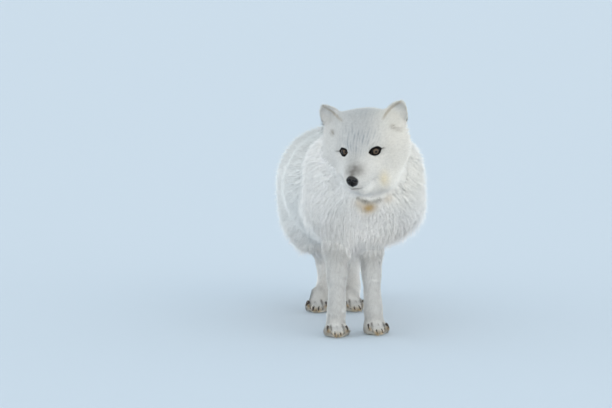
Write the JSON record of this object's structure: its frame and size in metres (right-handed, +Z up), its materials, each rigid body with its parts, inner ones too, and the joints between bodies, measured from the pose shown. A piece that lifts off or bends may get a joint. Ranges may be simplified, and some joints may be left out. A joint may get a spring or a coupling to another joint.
{
  "type": "arctic fox",
  "caption": "Life-size still model of an arctic fox in white winter coat, standing on four paws with its head turned to its right.",
  "frame": {"origin": "on the floor under the middle of the bounding box", "axes": "+Z up, the fox faces -Y, +X is the fox's own left"},
  "size_m": [0.2254, 0.5712, 0.4038],
  "materials": {
    "coat": "dense soft white winter fur, slightly grey in the hollows, warmer on the cheeks and throat",
    "paw": "short dense white fur, beige at the toes and dark between them",
    "nose": "black, pebbled and moist",
    "eye": "wet clear cornea over a tan-brown iris with a black pupil",
    "claw": "dark horn, smooth"
  },
  "bodies": {
    "root": {"head": "coat", "neck": "coat", "chest": "coat", "barrel": "coat", "rump": "coat", "tail_base": "coat", "tail_middle": "coat", "tail_tip": "coat", "ear_left": "coat", "ear_right": "coat", "foreleg_left": "coat", "hindleg_left": "coat", "forepaw_left": "paw", "hindpaw_left": "paw", "eye_left": "eye", "foreclaw_left_1": "claw", "foreclaw_left_2": "claw", "foreclaw_left_3": "claw", "foreclaw_left_4": "claw", "hindclaw_left_1": "claw", "hindclaw_left_2": "claw", "hindclaw_left_3": "claw", "hindclaw_left_4": "claw", "foreleg_right": "coat", "hindleg_right": "coat", "forepaw_right": "paw", "hindpaw_right": "paw", "eye_right": "eye", "foreclaw_right_1": "claw", "foreclaw_right_2": "claw", "foreclaw_right_3": "claw", "foreclaw_right_4": "claw", "hindclaw_right_1": "claw", "hindclaw_right_2": "claw", "hindclaw_right_3": "claw", "hindclaw_right_4": "claw", "nose": "nose"}
  },
  "joints": []
}
